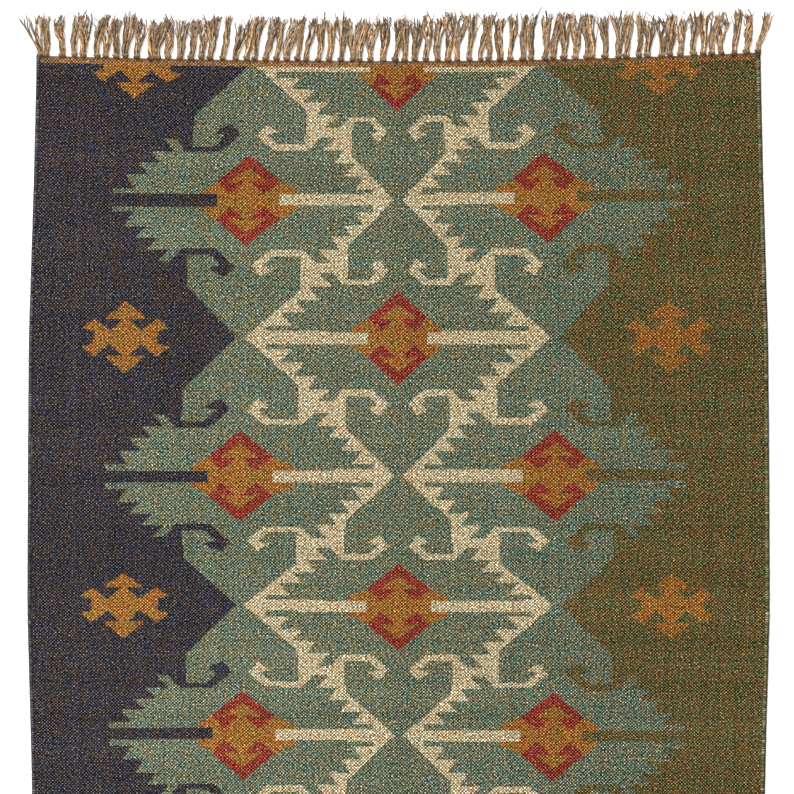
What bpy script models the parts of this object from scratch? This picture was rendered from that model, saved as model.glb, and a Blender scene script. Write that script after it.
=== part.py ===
"""Area rug: a flat-woven kilim of wool on a jute warp, with knotted jute fringes.

The cloth is one layer thick all over.  Each area of colour is woven with its own
weft, which turns back at the edge of the next area, so the rug is a jigsaw of
woven blocks, held side by side by the warps that run through all of them.  A
wrapped cord finishes each long edge, a plain band of jute weft closes each end,
and beyond the band the warps are knotted in groups and hang loose as tassels.

Metres.  X runs across the rug, Y along it, Z up; the rug lies on Z = 0.
"""

import bmesh
import bpy
import math
import numpy as np

# ---------------------------------------------------------------- sizes (metres)

# the cloth
RUG_WIDTH = 2.440
CLOTH_THICKNESS = 0.008
REPEAT_COUNT = 3
REPEAT_LENGTH = 0.892
WEAVE_GAP = 0.0003          # the slit left between two neighbouring blocks of weft

# the finished edges
SELVEDGE_WIDTH = 0.015
SELVEDGE_HEIGHT = 0.010
HEADER_WIDTH = 0.016

# the fringe
TASSEL_COUNT = 68
TWINING_WIDTH = 0.006
TWINING_HEIGHT = 0.007
KNOT_LENGTH = 0.017
KNOT_WIDTH = 0.026
KNOT_HEIGHT = 0.014
NECK_WIDTH = 0.013
NECK_HEIGHT = 0.009
TASSEL_LENGTH = 0.128
ROOT_HEIGHT = 0.0055        # of a warp bundle inside the twined cord
TASSEL_TIP_WIDTH = 0.025
TASSEL_TIP_HEIGHT = 0.006
TASSEL_TOP_SHARE = 0.7      # width of a bundle along its top, to its width on the floor

# the bars that run into each diamond from left and right
BAR_HALF = 0.0195

# the diamonds, measured from their own middles
SIDE_DIAMOND_OUT = 0.496    # from the middle line of the rug
DIAMOND_HALF_LENGTH = 0.150
DIAMOND_SHOULDER = (0.104, 0.063)
DIAMOND_CORNER = (0.159, 0.031)
CAP_HORN = (0.058, 0.020)
CAP_HORN_INSIDE = (0.036, 0.036)
CAP_CURL = (0.010, 0.063)
CAP_CURL_BACK = (0.065, 0.060)
CAP_INNER_POINT = 0.108

# the cream zigzags
ZIGZAG_POINT_GAP = 0.013    # from the middle line of the rug to the inner points
ZIGZAG_OUTER_POINT = 0.497
BAR_NOTCH_OUT = 0.084       # where the notch beside the bar ends
FIRST_TOOTH_OUT = 0.086
FIRST_TOOTH_DOWN = 0.038
TOOTH_RUN = 0.040
TOOTH_DEPTH = 0.072
TOOTH_COUNT = 4
CROSSBAR_HALF = 0.017
CROSSBAR_ROOT = 0.020       # from the middle of the crossbar to the last tooth
# the curled horn of the zigzag, measured from the middle of the crossbar
HORN = (
    (0.066, -0.057),
    (0.166, -0.057),
    (0.222, -0.010),
    (0.192, 0.028),
    (0.153, 0.003),
    (0.186, -0.007),
    (0.153, -0.037),
    (0.075, -0.037),
)
HORN_ROOT = 0.030
LIMB_TAPER = 0.86           # slope of a limb's plain edge, to the slope of its toothed edge

# the combs and horns of the dark grounds, measured from the diamond's line
COMB_MOUTH_OUT = 0.953
COMB_MOUTH_DOWN = 0.040
COMB_FIRST_ROOT = 0.882
COMB_FIRST_TIP = (0.912, 0.084)
COMB_RUN = 0.038
COMB_STEP = 0.039
COMB_DEPTH = 0.078
COMB_COUNT = 4
COMB_LAST_DEPTH = 0.041
GROUND_HORN = (
    (0.721, 0.159),
    (0.600, 0.159),
    (0.532, 0.218),
    (0.565, 0.253),
    (0.613, 0.235),
    (0.621, 0.221),
    (0.581, 0.214),
    (0.626, 0.178),
    (0.702, 0.178),
    (0.702, 0.280),
)
GROUND_POINT_OUT = 0.522

# the hooked crosses, measured from their own middles
CROSS_OUT = 0.902
CROSS_POINT = 0.115
CROSS_ARROW = (0.066, 0.061)
CROSS_NECK_HALF = 0.010
CROSS_WAIST = (0.051, 0.020)
CROSS_ARM_TOP = (0.104, 0.061)
CROSS_CLAW = (0.142, 0.030)
CROSS_NOTCH = (0.106, 0.021)

# ---------------------------------------------------------------- derived sizes

FIELD_HALF_WIDTH = RUG_WIDTH / 2 - SELVEDGE_WIDTH
FIELD_LENGTH = REPEAT_COUNT * REPEAT_LENGTH
FIELD_HALF_LENGTH = FIELD_LENGTH / 2
BODY_HALF_LENGTH = FIELD_HALF_LENGTH + HEADER_WIDTH
HALF_REPEAT = REPEAT_LENGTH / 2
CROSSBAR_DOWN = HALF_REPEAT / 2
CROSSBAR_OUT = (ZIGZAG_POINT_GAP + ZIGZAG_OUTER_POINT) / 2
TOOTH_STEP = (CROSSBAR_DOWN - CROSSBAR_HALF - FIRST_TOOTH_DOWN) / TOOTH_COUNT

# ---------------------------------------------------------------- clean start

for old in list(bpy.data.objects):
    bpy.data.objects.remove(old, do_unlink=True)

rug = bpy.data.collections.new("area_rug")
bpy.context.scene.collection.children.link(rug)
cutters = bpy.data.collections.new("fringe_cutters")
bpy.context.scene.collection.children.link(cutters)


def linear(value):
    """One channel of a colour from 0-255 screen value to linear light."""
    v = value / 255.0
    return v / 12.92 if v <= 0.04045 else ((v + 0.055) / 1.055) ** 2.4


def yarn(name, hex_colour, roughness):
    """A plain matt yarn material."""
    material = bpy.data.materials.new(name)
    material.use_nodes = True
    shader = material.node_tree.nodes["Principled BSDF"]
    r, g, b = (linear(int(hex_colour[i : i + 2], 16)) for i in (0, 2, 4))
    shader.inputs["Base Color"].default_value = (r, g, b, 1.0)
    shader.inputs["Roughness"].default_value = roughness
    shader.inputs["Metallic"].default_value = 0.0
    material.diffuse_color = (r, g, b, 1.0)
    return material


navy_wool = yarn("navy_wool", "4a4446", 0.92)
olive_wool = yarn("olive_wool", "625836", 0.92)
sage_wool = yarn("sage_wool", "7b8468", 0.92)
green_wool = yarn("green_wool", "6c725a", 0.92)
teal_wool = yarn("teal_wool", "6b7a66", 0.92)
cream_wool = yarn("cream_wool", "cdb893", 0.92)
ochre_wool = yarn("ochre_wool", "9f6d33", 0.92)
red_wool = yarn("red_wool", "934333", 0.92)
orange_wool = yarn("orange_wool", "9e6a30", 0.92)
navy_cord = yarn("navy_cord", "35343c", 0.9)
olive_cord = yarn("olive_cord", "5a5134", 0.9)
header_jute = yarn("header_jute", "8f6336", 0.9)
fringe_jute = yarn("fringe_jute", "a58461", 0.9)


# ---------------------------------------------------------------- outlines


def inset(outline, distance):
    """The closed outline moved to its own inside by a distance, corners kept sharp."""
    p = np.array(outline, float)
    nxt = np.roll(p, -1, axis=0)
    area = np.sum(p[:, 0] * nxt[:, 1] - nxt[:, 0] * p[:, 1]) / 2
    if area < 0:
        p = p[::-1]
        nxt = np.roll(p, -1, axis=0)
    along = nxt - p
    along = along / np.linalg.norm(along, axis=1)[:, None]
    inward = np.stack([-along[:, 1], along[:, 0]], axis=1)
    before = np.roll(along, 1, axis=0)
    before_in = np.roll(inward, 1, axis=0)
    turn = before[:, 0] * along[:, 1] - before[:, 1] * along[:, 0]
    start = p + inward * distance
    reach = p + before_in * distance
    gap = start - reach
    straight = np.abs(turn) < 1e-9
    cross = gap[:, 0] * along[:, 1] - gap[:, 1] * along[:, 0]
    step = np.where(straight, 0.0, cross / np.where(straight, 1.0, turn))
    return reach + before * step[:, None]


def mirrored(points, across=1, along=1):
    """The points with X and Y turned to the other side where asked."""
    return [(x * across, y * along) for x, y in points]


def moved(points, x, y):
    return [(px + x, py + y) for px, py in points]


def comb_and_horn():
    """Edge of a dark ground from the end of its bar to its point, in one half repeat."""
    path = [
        (SIDE_DIAMOND_OUT + DIAMOND_SHOULDER[0], BAR_HALF),
        (COMB_MOUTH_OUT, BAR_HALF),
        (COMB_MOUTH_OUT, COMB_MOUTH_DOWN),
        (COMB_FIRST_ROOT, COMB_MOUTH_DOWN),
    ]
    for i in range(COMB_COUNT):
        tip = COMB_FIRST_TIP[0] - COMB_RUN * i
        level = COMB_FIRST_TIP[1] + COMB_STEP * i
        depth = COMB_LAST_DEPTH if i == COMB_COUNT - 1 else COMB_DEPTH
        path += [(tip, level), (tip - depth, level)]
    path += list(GROUND_HORN)
    path.append((GROUND_POINT_OUT, HALF_REPEAT))
    return path


def zigzag_outside():
    """Outer edge of a cream zigzag from its bar to its outer point, in one half repeat."""
    path = [(BAR_NOTCH_OUT, BAR_HALF)]
    for i in range(TOOTH_COUNT):
        root = FIRST_TOOTH_OUT + TOOTH_RUN * i
        level = FIRST_TOOTH_DOWN + TOOTH_STEP * i
        path += [(root, level), (root + TOOTH_DEPTH, level)]
    path.append((CROSSBAR_OUT - CROSSBAR_ROOT, CROSSBAR_DOWN - CROSSBAR_HALF))
    path.append((CROSSBAR_OUT + HORN_ROOT, CROSSBAR_DOWN - CROSSBAR_HALF))
    path += [(CROSSBAR_OUT + x, CROSSBAR_DOWN + y) for x, y in HORN]
    stem = path[-1][0]
    slope = LIMB_TAPER * TOOTH_STEP / TOOTH_RUN
    path.append((stem, HALF_REPEAT - slope * (ZIGZAG_OUTER_POINT - stem)))
    path.append((ZIGZAG_OUTER_POINT, HALF_REPEAT))
    return path


def zigzag_inside():
    """Inner edge of a cream zigzag: the outer edge turned half round."""
    turned = [(2 * CROSSBAR_OUT - x, HALF_REPEAT - y) for x, y in zigzag_outside()]
    return turned[::-1]


def cap_inside():
    """Inner edge of a red cap, from its left shoulder to its right one."""
    half = [
        CAP_HORN,
        CAP_HORN_INSIDE,
        CAP_CURL,
        CAP_CURL_BACK,
    ]
    left = [(-x, y) for x, y in half]
    return left + [(0.0, CAP_INNER_POINT)] + half[::-1]


def red_cap():
    """The outline of one red cap, above the middle of its diamond."""
    out, up = DIAMOND_SHOULDER
    return [(-out, up)] + cap_inside() + [(out, up), (0.0, DIAMOND_HALF_LENGTH)]


def diamond_upper():
    """The ochre edge of the upper half of a diamond, left bar to right bar."""
    out, up = DIAMOND_SHOULDER
    far, low = DIAMOND_CORNER
    left = [(-out, BAR_HALF), (-far, BAR_HALF), (-far, low), (-out, up)]
    return left + cap_inside() + [(-x, y) for x, y in left[::-1]]


def full_diamond():
    upper = diamond_upper()
    return upper + mirrored(upper, 1, -1)[::-1]


def half_diamond():
    out = DIAMOND_SHOULDER[0]
    return [(-out, 0.0)] + diamond_upper() + [(out, 0.0)]


def cross_quarter():
    """A quarter of a hooked cross, from its upper point to its side notch."""
    return [
        (0.0, CROSS_POINT),
        CROSS_ARROW,
        (CROSS_NECK_HALF, CROSS_ARROW[1]),
        CROSS_WAIST,
        CROSS_ARM_TOP,
        CROSS_CLAW,
        CROSS_NOTCH,
    ]


def half_cross():
    """The upper half of a hooked cross, cut straight at its middle."""
    right = [(CROSS_NOTCH[0], 0.0)] + cross_quarter()[::-1]
    return right + mirrored(right[:-1], -1, 1)[::-1]


def full_cross():
    right = cross_quarter()
    right = right + mirrored(right, 1, -1)[::-1]
    return right + mirrored(right[1:-1], -1, 1)[::-1]


# ---------------------------------------------------------------- woven blocks


def woven_block(name, outline, material, holes=()):
    """A block of weft: a flat outline, the thickness of the cloth, with any holes."""
    curve = bpy.data.curves.new(name, "CURVE")
    curve.dimensions = "2D"
    curve.fill_mode = "BOTH"
    curve.extrude = CLOTH_THICKNESS / 2
    rings = [inset(outline, WEAVE_GAP / 2)]
    rings += [inset(hole, -WEAVE_GAP / 2) for hole in holes]
    for ring in rings:
        spline = curve.splines.new("POLY")
        spline.points.add(len(ring) - 1)
        for point, (x, y) in zip(spline.points, ring):
            point.co = (x, y, 0.0, 1.0)
        spline.use_cyclic_u = True
    block = bpy.data.objects.new(name, curve)
    block.location = (0.0, 0.0, CLOTH_THICKNESS / 2)
    curve.materials.append(material)
    rug.objects.link(block)
    return block


# the lines across the rug on which the side diamonds and middle diamonds sit
side_lines = [FIELD_HALF_LENGTH - (i + 0.5) * REPEAT_LENGTH for i in range(REPEAT_COUNT)]
middle_lines = [FIELD_HALF_LENGTH - i * REPEAT_LENGTH for i in range(REPEAT_COUNT + 1)]

SIDES = (("left", -1, navy_wool), ("right", 1, olive_wool))


def down_the_side(quarter, side):
    """A half-repeat path laid end to end from the far edge of the rug to the near one."""
    path = []
    for line in side_lines:
        path += moved(mirrored(quarter, side, 1)[::-1], 0.0, line)
        path += moved(mirrored(quarter, side, -1), 0.0, line)
    return without_repeats(path)


def without_repeats(path):
    """The path without points that sit on the point before them."""
    return [p for i, p in enumerate(path) if math.dist(path[i - 1], p) > 1e-6]


# dark grounds: navy on the left, olive on the right, each with its bars, combs and horns;
# the full crosses stand in holes, the end crosses in notches cut off by the headers
for side_name, side, wool in SIDES:
    edge = down_the_side(comb_and_horn(), side)
    far_notch = mirrored(half_cross(), side, -1)
    far_notch = moved(far_notch, side * CROSS_OUT, FIELD_HALF_LENGTH)
    near_notch = mirrored(far_notch, 1, -1)[::-1]
    outside = side * FIELD_HALF_WIDTH
    corners = [(outside, -FIELD_HALF_LENGTH), (outside, FIELD_HALF_LENGTH)]
    holes = [moved(full_cross(), side * CROSS_OUT, line) for line in middle_lines[1:-1]]
    name = "navy_ground" if side < 0 else "olive_ground"
    woven_block(name, edge + near_notch + corners + far_notch, wool, holes)

# hooked crosses on the dark grounds
for side_name, side, wool in SIDES:
    for i, line in enumerate(middle_lines):
        name = f"cross_{side_name}_{i + 1}"
        if i == 0:
            shape = mirrored(half_cross(), 1, -1)
        elif i == REPEAT_COUNT:
            shape = half_cross()
        else:
            shape = full_cross()
        woven_block(name, moved(shape, side * CROSS_OUT, line), orange_wool)

# cream zigzags, with the bars that run into the side and middle diamonds
for side_name, side, wool in SIDES:
    bar_end = SIDE_DIAMOND_OUT - DIAMOND_SHOULDER[0]
    outside = [(bar_end, BAR_HALF)] + zigzag_outside()
    inside = zigzag_inside() + [(DIAMOND_SHOULDER[0], HALF_REPEAT - BAR_HALF)]
    outer_edge = down_the_side(outside, side)
    inner_edge = down_the_side(inside, side)
    bar_stop = side * DIAMOND_SHOULDER[0]
    outline = outer_edge + [(bar_stop, -FIELD_HALF_LENGTH)]
    outline += inner_edge[::-1] + [(bar_stop, FIELD_HALF_LENGTH)]
    woven_block(f"cream_zigzag_{side_name}", outline, cream_wool)

# side diamonds, each an ochre body with two red caps
for side_name, side, wool in SIDES:
    for i, line in enumerate(side_lines):
        name = f"diamond_{side_name}_{i + 1}"
        middle = side * SIDE_DIAMOND_OUT
        woven_block(name, moved(full_diamond(), middle, line), ochre_wool)
        woven_block(f"{name}_cap_far", moved(red_cap(), middle, line), red_wool)
        lower = mirrored(red_cap(), 1, -1)
        woven_block(f"{name}_cap_near", moved(lower, middle, line), red_wool)

# middle diamonds; the first and last are cut in half by the header bands
for i, line in enumerate(middle_lines):
    name = f"diamond_middle_{i + 1}"
    lower = mirrored(red_cap(), 1, -1)
    if i == 0:
        woven_block(name, moved(mirrored(half_diamond(), 1, -1), 0.0, line), ochre_wool)
    elif i == REPEAT_COUNT:
        woven_block(name, moved(half_diamond(), 0.0, line), ochre_wool)
    else:
        woven_block(name, moved(full_diamond(), 0.0, line), ochre_wool)
    if i > 0:
        woven_block(f"{name}_cap_far", moved(red_cap(), 0.0, line), red_wool)
    if i < REPEAT_COUNT:
        woven_block(f"{name}_cap_near", moved(lower, 0.0, line), red_wool)


def diamond_edge():
    """The lower edge of a diamond from its right corner to its left, at the bar's edge."""
    out, up = DIAMOND_SHOULDER
    far, low = DIAMOND_CORNER
    left = [(-far, -BAR_HALF), (-far, -low), (-out, -up), (0.0, -DIAMOND_HALF_LENGTH)]
    return left + [(-x, y) for x, y in left[2::-1]]


def outer_green(side, line):
    """Green between a dark ground and a zigzag, from a line of side diamonds down."""
    ground = comb_and_horn()[1:]
    cream = zigzag_outside()
    diamond = moved(mirrored(diamond_edge(), side, 1), side * SIDE_DIAMOND_OUT, line)
    ground = moved(mirrored(ground, side, -1), 0.0, line)
    cream = moved(mirrored(cream, side, -1), 0.0, line)
    return diamond, ground, cream


# green on each side of the zigzags: one block from one line of side diamonds to the next
for side_name, side, wool in SIDES:
    green = sage_wool if side < 0 else teal_wool
    lines = [FIELD_HALF_LENGTH + HALF_REPEAT] + side_lines
    for i, line in enumerate(lines):
        diamond, ground, cream = outer_green(side, line)
        # from the zigzag's outer point up round the diamond and down to the ground's point
        upper = cream[::-1] + diamond + ground
        middle = line - HALF_REPEAT
        lower = [(x, 2 * middle - y) for x, y in upper]
        if i == 0:
            outline = lower
        elif i == REPEAT_COUNT:
            outline = upper
        else:
            outline = upper + lower[::-1]
        name = f"green_{side_name}_{i + 1}"
        woven_block(name, without_repeats(outline), green)

# green down the middle, between the zigzags, from one middle diamond to the next
for i, line in enumerate(middle_lines[:-1]):
    inside = zigzag_inside()
    right = moved([(x, y - HALF_REPEAT) for x, y in inside], 0.0, line)
    diamond = moved(diamond_edge(), 0.0, line)
    left = mirrored(right, -1, 1)
    upper = left + diamond + right[::-1]
    middle = line - HALF_REPEAT
    lower = [(x, 2 * middle - y) for x, y in upper]
    woven_block(f"green_middle_{i + 1}", without_repeats(upper + lower[::-1]), green_wool)


# ---------------------------------------------------------------- edges and ends

# selvedge cords: the outermost warps, wrapped tightly with the ground's own yarn
for side_name, side, wool in SIDES:
    name = f"selvedge_{side_name}"
    curve = bpy.data.curves.new(name, "CURVE")
    curve.dimensions = "2D"
    curve.fill_mode = "BOTH"
    curve.extrude = BODY_HALF_LENGTH
    spline = curve.splines.new("POLY")
    corners = 12
    spline.points.add(corners - 1)
    for k, point in enumerate(spline.points):
        turn = 2 * math.pi * (k + 0.5) / corners
        across = (SELVEDGE_WIDTH - WEAVE_GAP) / 2 / math.cos(math.pi / corners)
        tall = SELVEDGE_HEIGHT / 2 / math.cos(math.pi / corners)
        point.co = (across * math.cos(turn), tall * math.sin(turn), 0.0, 1.0)
    spline.use_cyclic_u = True
    cord = bpy.data.objects.new(name, curve)
    cord.rotation_euler = (math.pi / 2, 0.0, 0.0)
    offset = RUG_WIDTH / 2 - SELVEDGE_WIDTH / 2 + WEAVE_GAP / 2
    cord.location = (side * offset, 0.0, SELVEDGE_HEIGHT / 2)
    curve.materials.append(navy_cord if side < 0 else olive_cord)
    rug.objects.link(cord)

# header bands: plain jute weft across each end, between the selvedge cords
ENDS = (("far", 1), ("near", -1))
for end_name, end in ENDS:
    inner = end * FIELD_HALF_LENGTH
    outer = end * BODY_HALF_LENGTH
    w = FIELD_HALF_WIDTH
    band = [(-w, inner), (w, inner), (w, outer), (-w, outer)]
    woven_block(f"header_{end_name}", band, header_jute)


def tassel_row(end):
    """One end's tassels as closed lofts: root in the cord, knot, neck and flared tip."""
    start = BODY_HALF_LENGTH + WEAVE_GAP + TWINING_WIDTH
    stations = (
        (start - TWINING_WIDTH / 2, NECK_WIDTH, ROOT_HEIGHT),
        (start + KNOT_LENGTH / 2, KNOT_WIDTH, KNOT_HEIGHT),
        (start + KNOT_LENGTH, NECK_WIDTH, NECK_HEIGHT),
        (start + TASSEL_LENGTH, TASSEL_TIP_WIDTH, TASSEL_TIP_HEIGHT),
    )
    pitch = (RUG_WIDTH - KNOT_WIDTH) / (TASSEL_COUNT - 1)
    verts = []
    faces = []
    for k in range(TASSEL_COUNT):
        middle = -(RUG_WIDTH - KNOT_WIDTH) / 2 + pitch * k
        base = len(verts)
        for y, width, height in stations:
            low = max(0.0, (TWINING_HEIGHT - height) / 2)
            wide = width / 2
            narrow = wide * TASSEL_TOP_SHARE
            for x, z in ((-wide, low), (wide, low), (narrow, low + height), (-narrow, low + height)):
                verts.append((middle + x, end * y, z))
        for s in range(len(stations) - 1):
            for c in range(4):
                a = base + s * 4 + c
                b = base + s * 4 + (c + 1) % 4
                faces.append((a, b, b + 4, a + 4))
        last = base + (len(stations) - 1) * 4
        faces.append((base + 3, base + 2, base + 1, base))
        faces.append((last, last + 1, last + 2, last + 3))
    if end > 0:
        faces = [face[::-1] for face in faces]
    return verts, faces


# fringes: a twined cord locks the header, and the knotted warp ends hang from it
for end_name, end in ENDS:
    name = f"fringe_{end_name}"
    cord = bmesh.new()
    bmesh.ops.create_cube(cord, size=1.0)
    bmesh.ops.scale(cord, vec=(RUG_WIDTH, TWINING_WIDTH, TWINING_HEIGHT), verts=cord.verts)
    mesh = bpy.data.meshes.new(name)
    cord.to_mesh(mesh)
    cord.free()
    mesh.materials.append(fringe_jute)
    fringe = bpy.data.objects.new(name, mesh)
    middle = BODY_HALF_LENGTH + WEAVE_GAP + TWINING_WIDTH / 2
    fringe.location = (0.0, end * middle, TWINING_HEIGHT / 2)
    rug.objects.link(fringe)

    verts, faces = tassel_row(end)
    tassel_mesh = bpy.data.meshes.new(f"{name}_tassels")
    tassel_mesh.from_pydata(verts, [], faces)
    tassel_mesh.materials.append(fringe_jute)
    tassels = bpy.data.objects.new(f"{name}_tassels", tassel_mesh)
    tassels.hide_render = True
    tassels.display_type = "WIRE"
    cutters.objects.link(tassels)

    join = fringe.modifiers.new("join_tassels", "BOOLEAN")
    join.operation = "UNION"
    join.solver = "EXACT"
    join.object = tassels
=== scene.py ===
"""Dresses the frame of a flat-woven wool rug: weave, wrapped edges, headers and knotted fringes."""

import bpy
import numpy as np
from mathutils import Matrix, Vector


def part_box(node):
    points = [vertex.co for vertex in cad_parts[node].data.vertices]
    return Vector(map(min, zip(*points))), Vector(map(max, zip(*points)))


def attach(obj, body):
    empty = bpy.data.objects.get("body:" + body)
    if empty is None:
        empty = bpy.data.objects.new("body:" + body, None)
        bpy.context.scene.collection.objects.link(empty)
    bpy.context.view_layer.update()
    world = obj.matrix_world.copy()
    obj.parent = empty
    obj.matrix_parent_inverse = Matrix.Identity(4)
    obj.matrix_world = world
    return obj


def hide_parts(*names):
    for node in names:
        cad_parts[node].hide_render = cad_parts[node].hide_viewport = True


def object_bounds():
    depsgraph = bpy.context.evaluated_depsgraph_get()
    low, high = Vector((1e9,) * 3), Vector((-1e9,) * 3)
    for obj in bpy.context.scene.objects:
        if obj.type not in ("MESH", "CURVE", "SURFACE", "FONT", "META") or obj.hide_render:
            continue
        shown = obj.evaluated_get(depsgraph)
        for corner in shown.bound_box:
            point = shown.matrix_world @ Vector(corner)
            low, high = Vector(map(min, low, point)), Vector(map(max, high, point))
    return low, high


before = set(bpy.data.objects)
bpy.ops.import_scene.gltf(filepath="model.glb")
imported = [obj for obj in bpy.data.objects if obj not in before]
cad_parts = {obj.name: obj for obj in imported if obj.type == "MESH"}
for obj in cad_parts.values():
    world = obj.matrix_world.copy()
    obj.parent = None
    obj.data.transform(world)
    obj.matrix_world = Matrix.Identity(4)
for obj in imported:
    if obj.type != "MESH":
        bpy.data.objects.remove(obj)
cad_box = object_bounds()
random = np.random.default_rng(1906)

# ---------------------------------------------------------------------------------------------
# The studio: the rug lies on a plain pale floor under a bright sky of soft light, with one large
# soft lamp from the far left. The camera hangs over it and looks straight down, close enough
# to leave the near end of the rug out of the view.
# ---------------------------------------------------------------------------------------------
VIEW_WIDTH = 2.634
VIEW_PAST_FRINGE = 0.072
VIEW_ASIDE = -0.005
LENS_MM = 135.0
SENSOR_MM = 36.0
SKY_LIGHT = 0.65
LAMP_LIGHT = 4.2
LAMP_SOFTNESS_DEG = 25.0
LAMP_TILT_DEG = (-45.0, -28.0, 0.0)
FLOOR_GLOW = 0.25
FLOOR_REACH = 40.0


def linear(colour):
    """An sRGB hex colour as linear red, green, blue and an alpha of 1, by the sRGB curve."""
    parts = np.array([int(colour[i:i + 2], 16) / 255 for i in (1, 3, 5)])
    straight = np.where(parts <= 0.04045, parts / 12.92, ((parts + 0.055) / 1.055) ** 2.4)
    return (*straight.tolist(), 1.0)


def add(tree, kind, inputs=(), **settings):
    """Adds a node, sets its properties, and fills its inputs with values or other nodes' outputs."""
    node = tree.nodes.new(kind)
    for name, value in settings.items():
        setattr(node, name, value)
    for socket, value in dict(inputs).items():
        if isinstance(value, bpy.types.NodeSocket):
            tree.links.new(value, node.inputs[socket])
        else:
            node.inputs[socket].default_value = value
    return node


def finish_material(name, **shader_inputs):
    """A new material and its tree, holding one Principled shader with these inputs set."""
    material = bpy.data.materials.new(name)
    material.use_nodes = True
    tree = material.node_tree
    tree.nodes.clear()
    inputs = {}
    for key, value in shader_inputs.items():
        inputs[key.replace("_", " ").title().replace("Ior", "IOR")] = value
    shader = add(tree, "ShaderNodeBsdfPrincipled", inputs)
    add(tree, "ShaderNodeOutputMaterial", {"Surface": shader.outputs[0]})
    return material, tree, shader


scene = bpy.context.scene
scene.view_settings.view_transform = "Standard"
camera = bpy.data.objects.new("camera", bpy.data.cameras.new("camera"))
camera.data.lens = LENS_MM
camera.data.sensor_width = SENSOR_MM
camera.data.clip_end = 100.0
camera.location = (
    VIEW_ASIDE,
    cad_box[1].y + VIEW_PAST_FRINGE - VIEW_WIDTH / 2,
    cad_box[1].z + VIEW_WIDTH * LENS_MM / SENSOR_MM,
)
scene.collection.objects.link(camera)
scene.camera = camera

lamp = bpy.data.objects.new("soft_lamp", bpy.data.lights.new("soft_lamp", "SUN"))
lamp.data.energy = LAMP_LIGHT
lamp.data.angle = np.radians(LAMP_SOFTNESS_DEG)
lamp.rotation_euler = np.radians(LAMP_TILT_DEG)
scene.collection.objects.link(lamp)

sky = bpy.data.worlds.new("soft_sky")
sky.use_nodes = True
sky.node_tree.nodes["Background"].inputs["Color"].default_value = (1.0, 1.0, 1.0, 1.0)
sky.node_tree.nodes["Background"].inputs["Strength"].default_value = SKY_LIGHT
scene.world = sky

floor_mesh = bpy.data.meshes.new("floor")
floor_corners = [
    (-FLOOR_REACH, -FLOOR_REACH, 0), (FLOOR_REACH, -FLOOR_REACH, 0),
    (FLOOR_REACH, FLOOR_REACH, 0), (-FLOOR_REACH, FLOOR_REACH, 0),
]
floor_mesh.from_pydata(floor_corners, [], [(0, 1, 2, 3)])
floor = bpy.data.objects.new("floor", floor_mesh)
paint, _, _ = finish_material(
    "pale_floor_paint", base_color=linear("#f6f6f6"), roughness=0.9, emission_color=linear("#ffffff"),
    emission_strength=FLOOR_GLOW,
)
floor_mesh.materials.append(paint)
scene.collection.objects.link(floor)

# ---------------------------------------------------------------------------------------------
# The warps and wefts: jute warps run from fringe to fringe, and thick hand-spun wefts are beaten
# down over one warp and under the next. The cloth is a lattice of crossings, crest beside
# pit. It came off the loom a little uneven, so the lattice drifts, bows and lies in low waves.
# ---------------------------------------------------------------------------------------------
WARP_SPACING = 0.0056
WEFT_SPACING = 0.0054
RELIEF = 0.0014
CLOTH_GAP = 0.00015
WAVE_HEIGHT = 0.003
WAVE_MIDDLE = 0.42
WAVE_SWING = 0.2
THICK_AND_THIN = 0.10
UNEVEN_TONE = 0.35
UNEVEN_YARN = 0.03
ASIDE_AT_RANDOM = 0.0005
ALONG_AT_RANDOM = 0.0004
THINNEST_AND_THICKEST = (0.2, 1.8)
UNDERSIDE_SHARE = 0.8
LEAST_CLEARANCE = 0.0002
FADED_PER_M = 0.10

cloth_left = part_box("selvedge_left")[1].x
cloth_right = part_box("selvedge_right")[0].x
cloth_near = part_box("header_near")[0].y
cloth_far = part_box("header_far")[1].y
cloth_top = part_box("navy_ground")[1].z
half_width = (cloth_right - cloth_left) / 2
half_length = (cloth_far - cloth_near) / 2
repeat_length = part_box("diamond_left_2")[1].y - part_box("diamond_left_3")[1].y

# Measured drifts of the cloth, in metres: one value for each line of the pattern, or one more between each
# two, from the near end to the far end.
WIDER_BY = np.array([-0.008, 0.002, 0.014, 0.012, 0.009, -0.006, -0.017])
BEATEN_UP_BY = np.array(
    [0.000, 0.007, 0.012, -0.001, -0.006, -0.021, -0.018, -0.014, -0.007, 0.003, 0.006, 0.003, 0.000])
FAR_CORNER_BOW = (0.017, 0.028)
NEAR_CORNER_BOW = (0.021, 0.012)

# The weaver counted by eye, so the motifs of a column sit a little aside of their true place. These are
# measured drifts in metres: one row for each column from left to right, at these distances from the
# middle, and one value for each line from the near end to the far end.
COLUMNS = np.array([-0.90, -0.72, -0.50, -0.22, 0.00, 0.22, 0.50, 0.72, 0.90])
STRAYED_BY = np.array([
    [0.000, -0.006, -0.001, -0.014, 0.003, -0.004, 0.018],
    [0.000, -0.010, 0.012, -0.028, 0.005, -0.005, 0.032],
    [-0.010, -0.027, -0.010, -0.033, -0.010, -0.012, 0.019],
    [0.000, 0.008, -0.004, 0.008, 0.005, 0.014, 0.036],
    [0.000, 0.000, 0.000, 0.000, -0.001, -0.003, -0.008],
    [0.000, -0.008, 0.003, -0.010, -0.018, -0.018, -0.036],
    [0.010, 0.019, 0.010, 0.024, 0.007, -0.001, -0.038],
    [0.000, 0.007, -0.002, 0.009, -0.011, -0.004, -0.040],
    [0.000, -0.005, -0.006, -0.005, -0.011, -0.001, -0.028],
])
LEFT_HIGHER_BY = np.array([0.000, 0.010, 0.008, -0.003, 0.003, -0.003, 0.005])
RIGHT_HIGHER_BY = np.array([0.000, 0.000, 0.005, 0.000, 0.003, 0.013, 0.006])

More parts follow.
